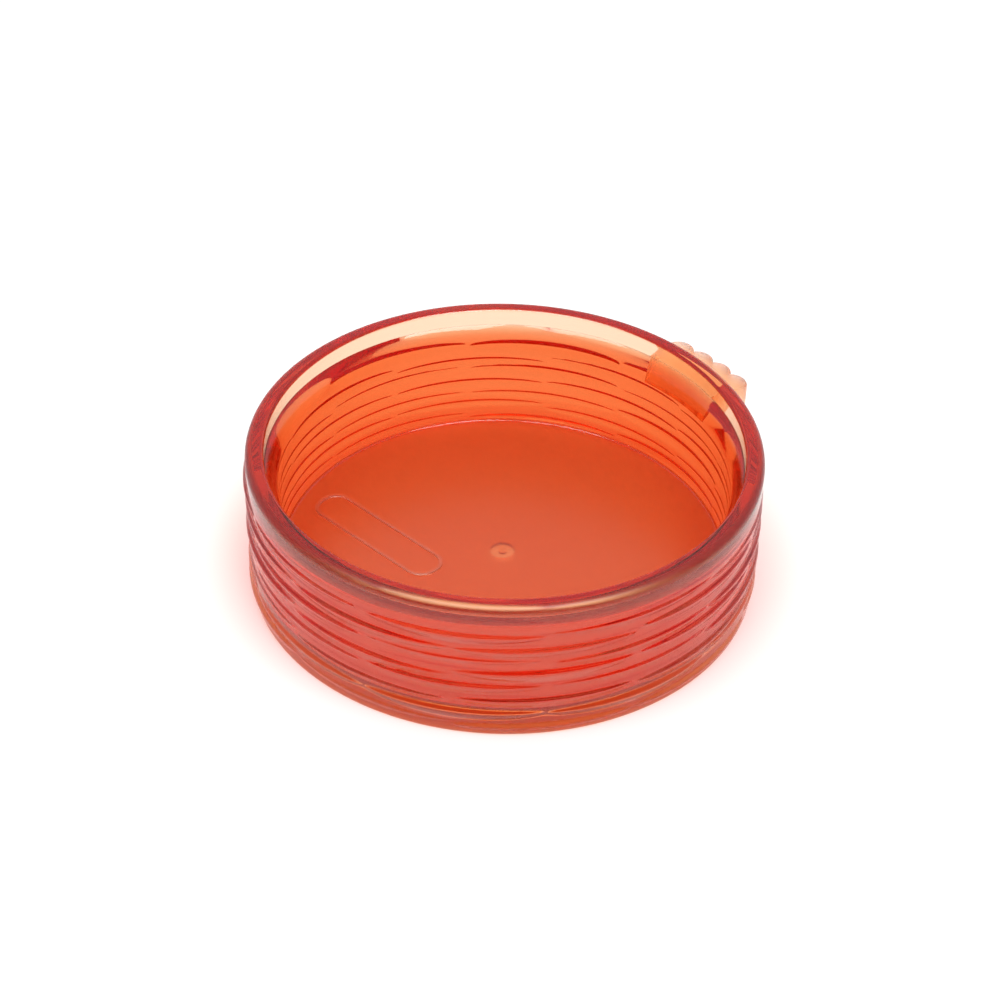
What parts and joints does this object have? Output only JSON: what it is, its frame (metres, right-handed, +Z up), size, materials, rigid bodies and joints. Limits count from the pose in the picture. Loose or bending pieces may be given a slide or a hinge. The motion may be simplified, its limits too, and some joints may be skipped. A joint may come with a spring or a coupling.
{
  "type": "insulator cup",
  "caption": "Shallow round clear amber insulator cup with a rippled wall, a fluted grip lug on one side and a deep orange liner nested inside it.",
  "frame": {"origin": "centre of the round underside, on the surface that the cup stands on", "axes": "+Z up along the cup's own axis, out of its open top; the grip lug stands out between +X and +Y, 41 degrees round from +X"},
  "size_m": [0.086, 0.086, 0.0256],
  "materials": {
    "clear_amber": "polished, transparent, lightly tinted",
    "deep_orange": "polished, transparent, strongly tinted"
  },
  "bodies": {
    "shell": {"outer_shell": "clear_amber"},
    "liner": {"inner_liner": "deep_orange"}
  },
  "joints": [
    {"name": "liner_lift", "type": "slide", "parent": "shell", "child": "liner", "axis": [0, 0, 1], "range_m": [0, 0.035]}
  ]
}
